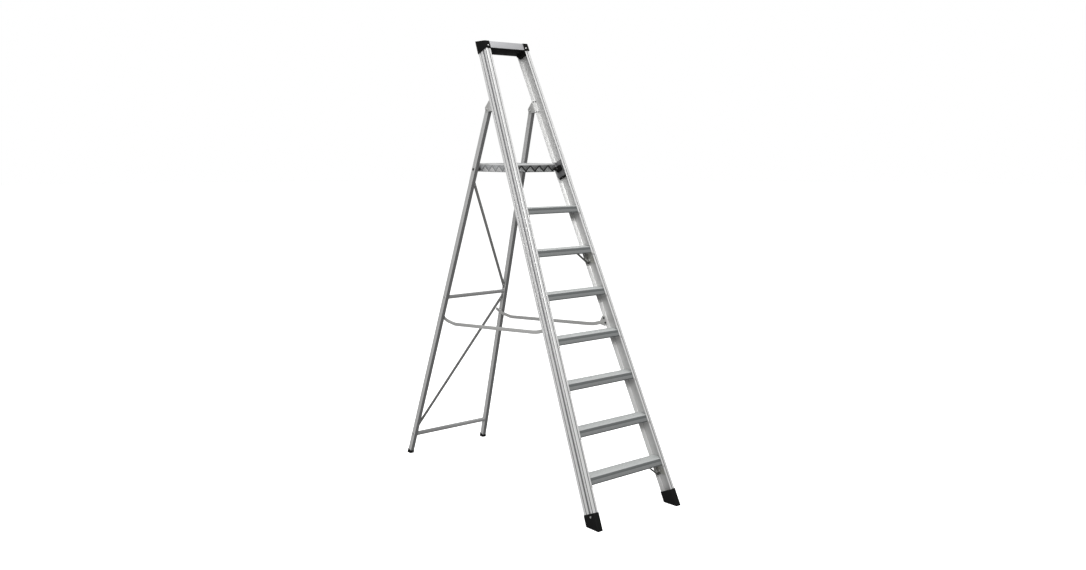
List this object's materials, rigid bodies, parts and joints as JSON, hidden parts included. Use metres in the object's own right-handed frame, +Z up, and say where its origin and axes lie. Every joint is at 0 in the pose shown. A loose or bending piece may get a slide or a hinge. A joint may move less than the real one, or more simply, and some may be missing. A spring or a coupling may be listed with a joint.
{
  "type": "step ladder",
  "caption": "Free-standing aluminium step ladder with deep treads, a chequer plate platform, a raised hand rail and a folding rear frame.",
  "frame": {"origin": "centre of the ladder's footprint on the floor, open and standing", "axes": "+Z up, -Y the side the climber stands on, +X the climber's right"},
  "size_m": [0.6552, 1.9026, 2.69],
  "materials": {
    "extrusion": "satin mill finish",
    "walking_surface": "ribbed, slightly worn",
    "plated_steel": "zinc plated",
    "fastener": "zinc plated",
    "rubber": "matt moulded",
    "cap_plastic": "matt moulded"
  },
  "bodies": {
    "front_frame": {"left_stile": "extrusion", "right_stile": "extrusion", "top_bar": "extrusion", "tread_1": "walking_surface", "tread_2": "walking_surface", "tread_3": "walking_surface", "tread_4": "walking_surface", "tread_5": "walking_surface", "tread_6": "walking_surface", "tread_7": "walking_surface", "tread_1_knee_right": "plated_steel", "tread_6_knee_right": "plated_steel", "platform_bracket_left": "plated_steel", "platform_bracket_right": "plated_steel", "hinge_bracket_left": "plated_steel", "hinge_bracket_right": "plated_steel", "stay_clip_left": "plated_steel", "stay_clip_right": "plated_steel", "platform_stud_left": "fastener", "platform_stud_right": "fastener", "hinge_pin_left": "fastener", "hinge_pin_right": "fastener", "front_shoe_left": "rubber", "front_shoe_right": "rubber", "platform_pad_left": "rubber", "platform_pad_right": "rubber", "top_cap_left": "cap_plastic", "top_cap_right": "cap_plastic", "top_bar_infill": "cap_plastic"},
    "rear_frame": {"rear_leg_left": "extrusion", "rear_leg_right": "extrusion", "rear_foot_left": "rubber", "rear_foot_right": "rubber", "rear_crossbar_middle": "extrusion", "rear_crossbar_bottom": "extrusion", "brace_upper": "extrusion", "brace_lower": "extrusion", "stay_pivot_left": "fastener", "stay_pivot_right": "fastener", "platform_pivot_left": "fastener", "platform_pivot_right": "fastener"},
    "platform": {"platform": "walking_surface"},
    "stay_left": {"stay_left": "extrusion"},
    "stay_right": {"stay_right": "extrusion"}
  },
  "joints": [
    {"name": "rear_frame_fold", "type": "hinge", "parent": "front_frame", "child": "rear_frame", "pos_m": [0, 0.20522, 2.278], "axis": [1, 0, 0], "range_deg": [-36, 0]},
    {"name": "platform_fold", "type": "hinge", "parent": "rear_frame", "child": "platform", "pos_m": [0, 0.32006, 1.918], "axis": [1, 0, 0], "range_deg": [-61.2, 0]},
    {"name": "stay_left_swing", "type": "hinge", "parent": "rear_frame", "child": "stay_left", "pos_m": [-0.22634, 0.62534, 0.961], "axis": [0.9982, 0, -0.0599], "range_deg": [0, 106.2]},
    {"name": "stay_right_swing", "type": "hinge", "parent": "rear_frame", "child": "stay_right", "pos_m": [0.22634, 0.62534, 0.961], "axis": [0.9982, 0, 0.0599], "range_deg": [0, 106.2]}
  ],
  "couplings": [
    {"joint": "platform_fold", "follows": "rear_frame_fold", "ratio": 1.7},
    {"joint": "stay_left_swing", "follows": "rear_frame_fold", "ratio": -2.95},
    {"joint": "stay_right_swing", "follows": "rear_frame_fold", "ratio": -2.95}
  ]
}
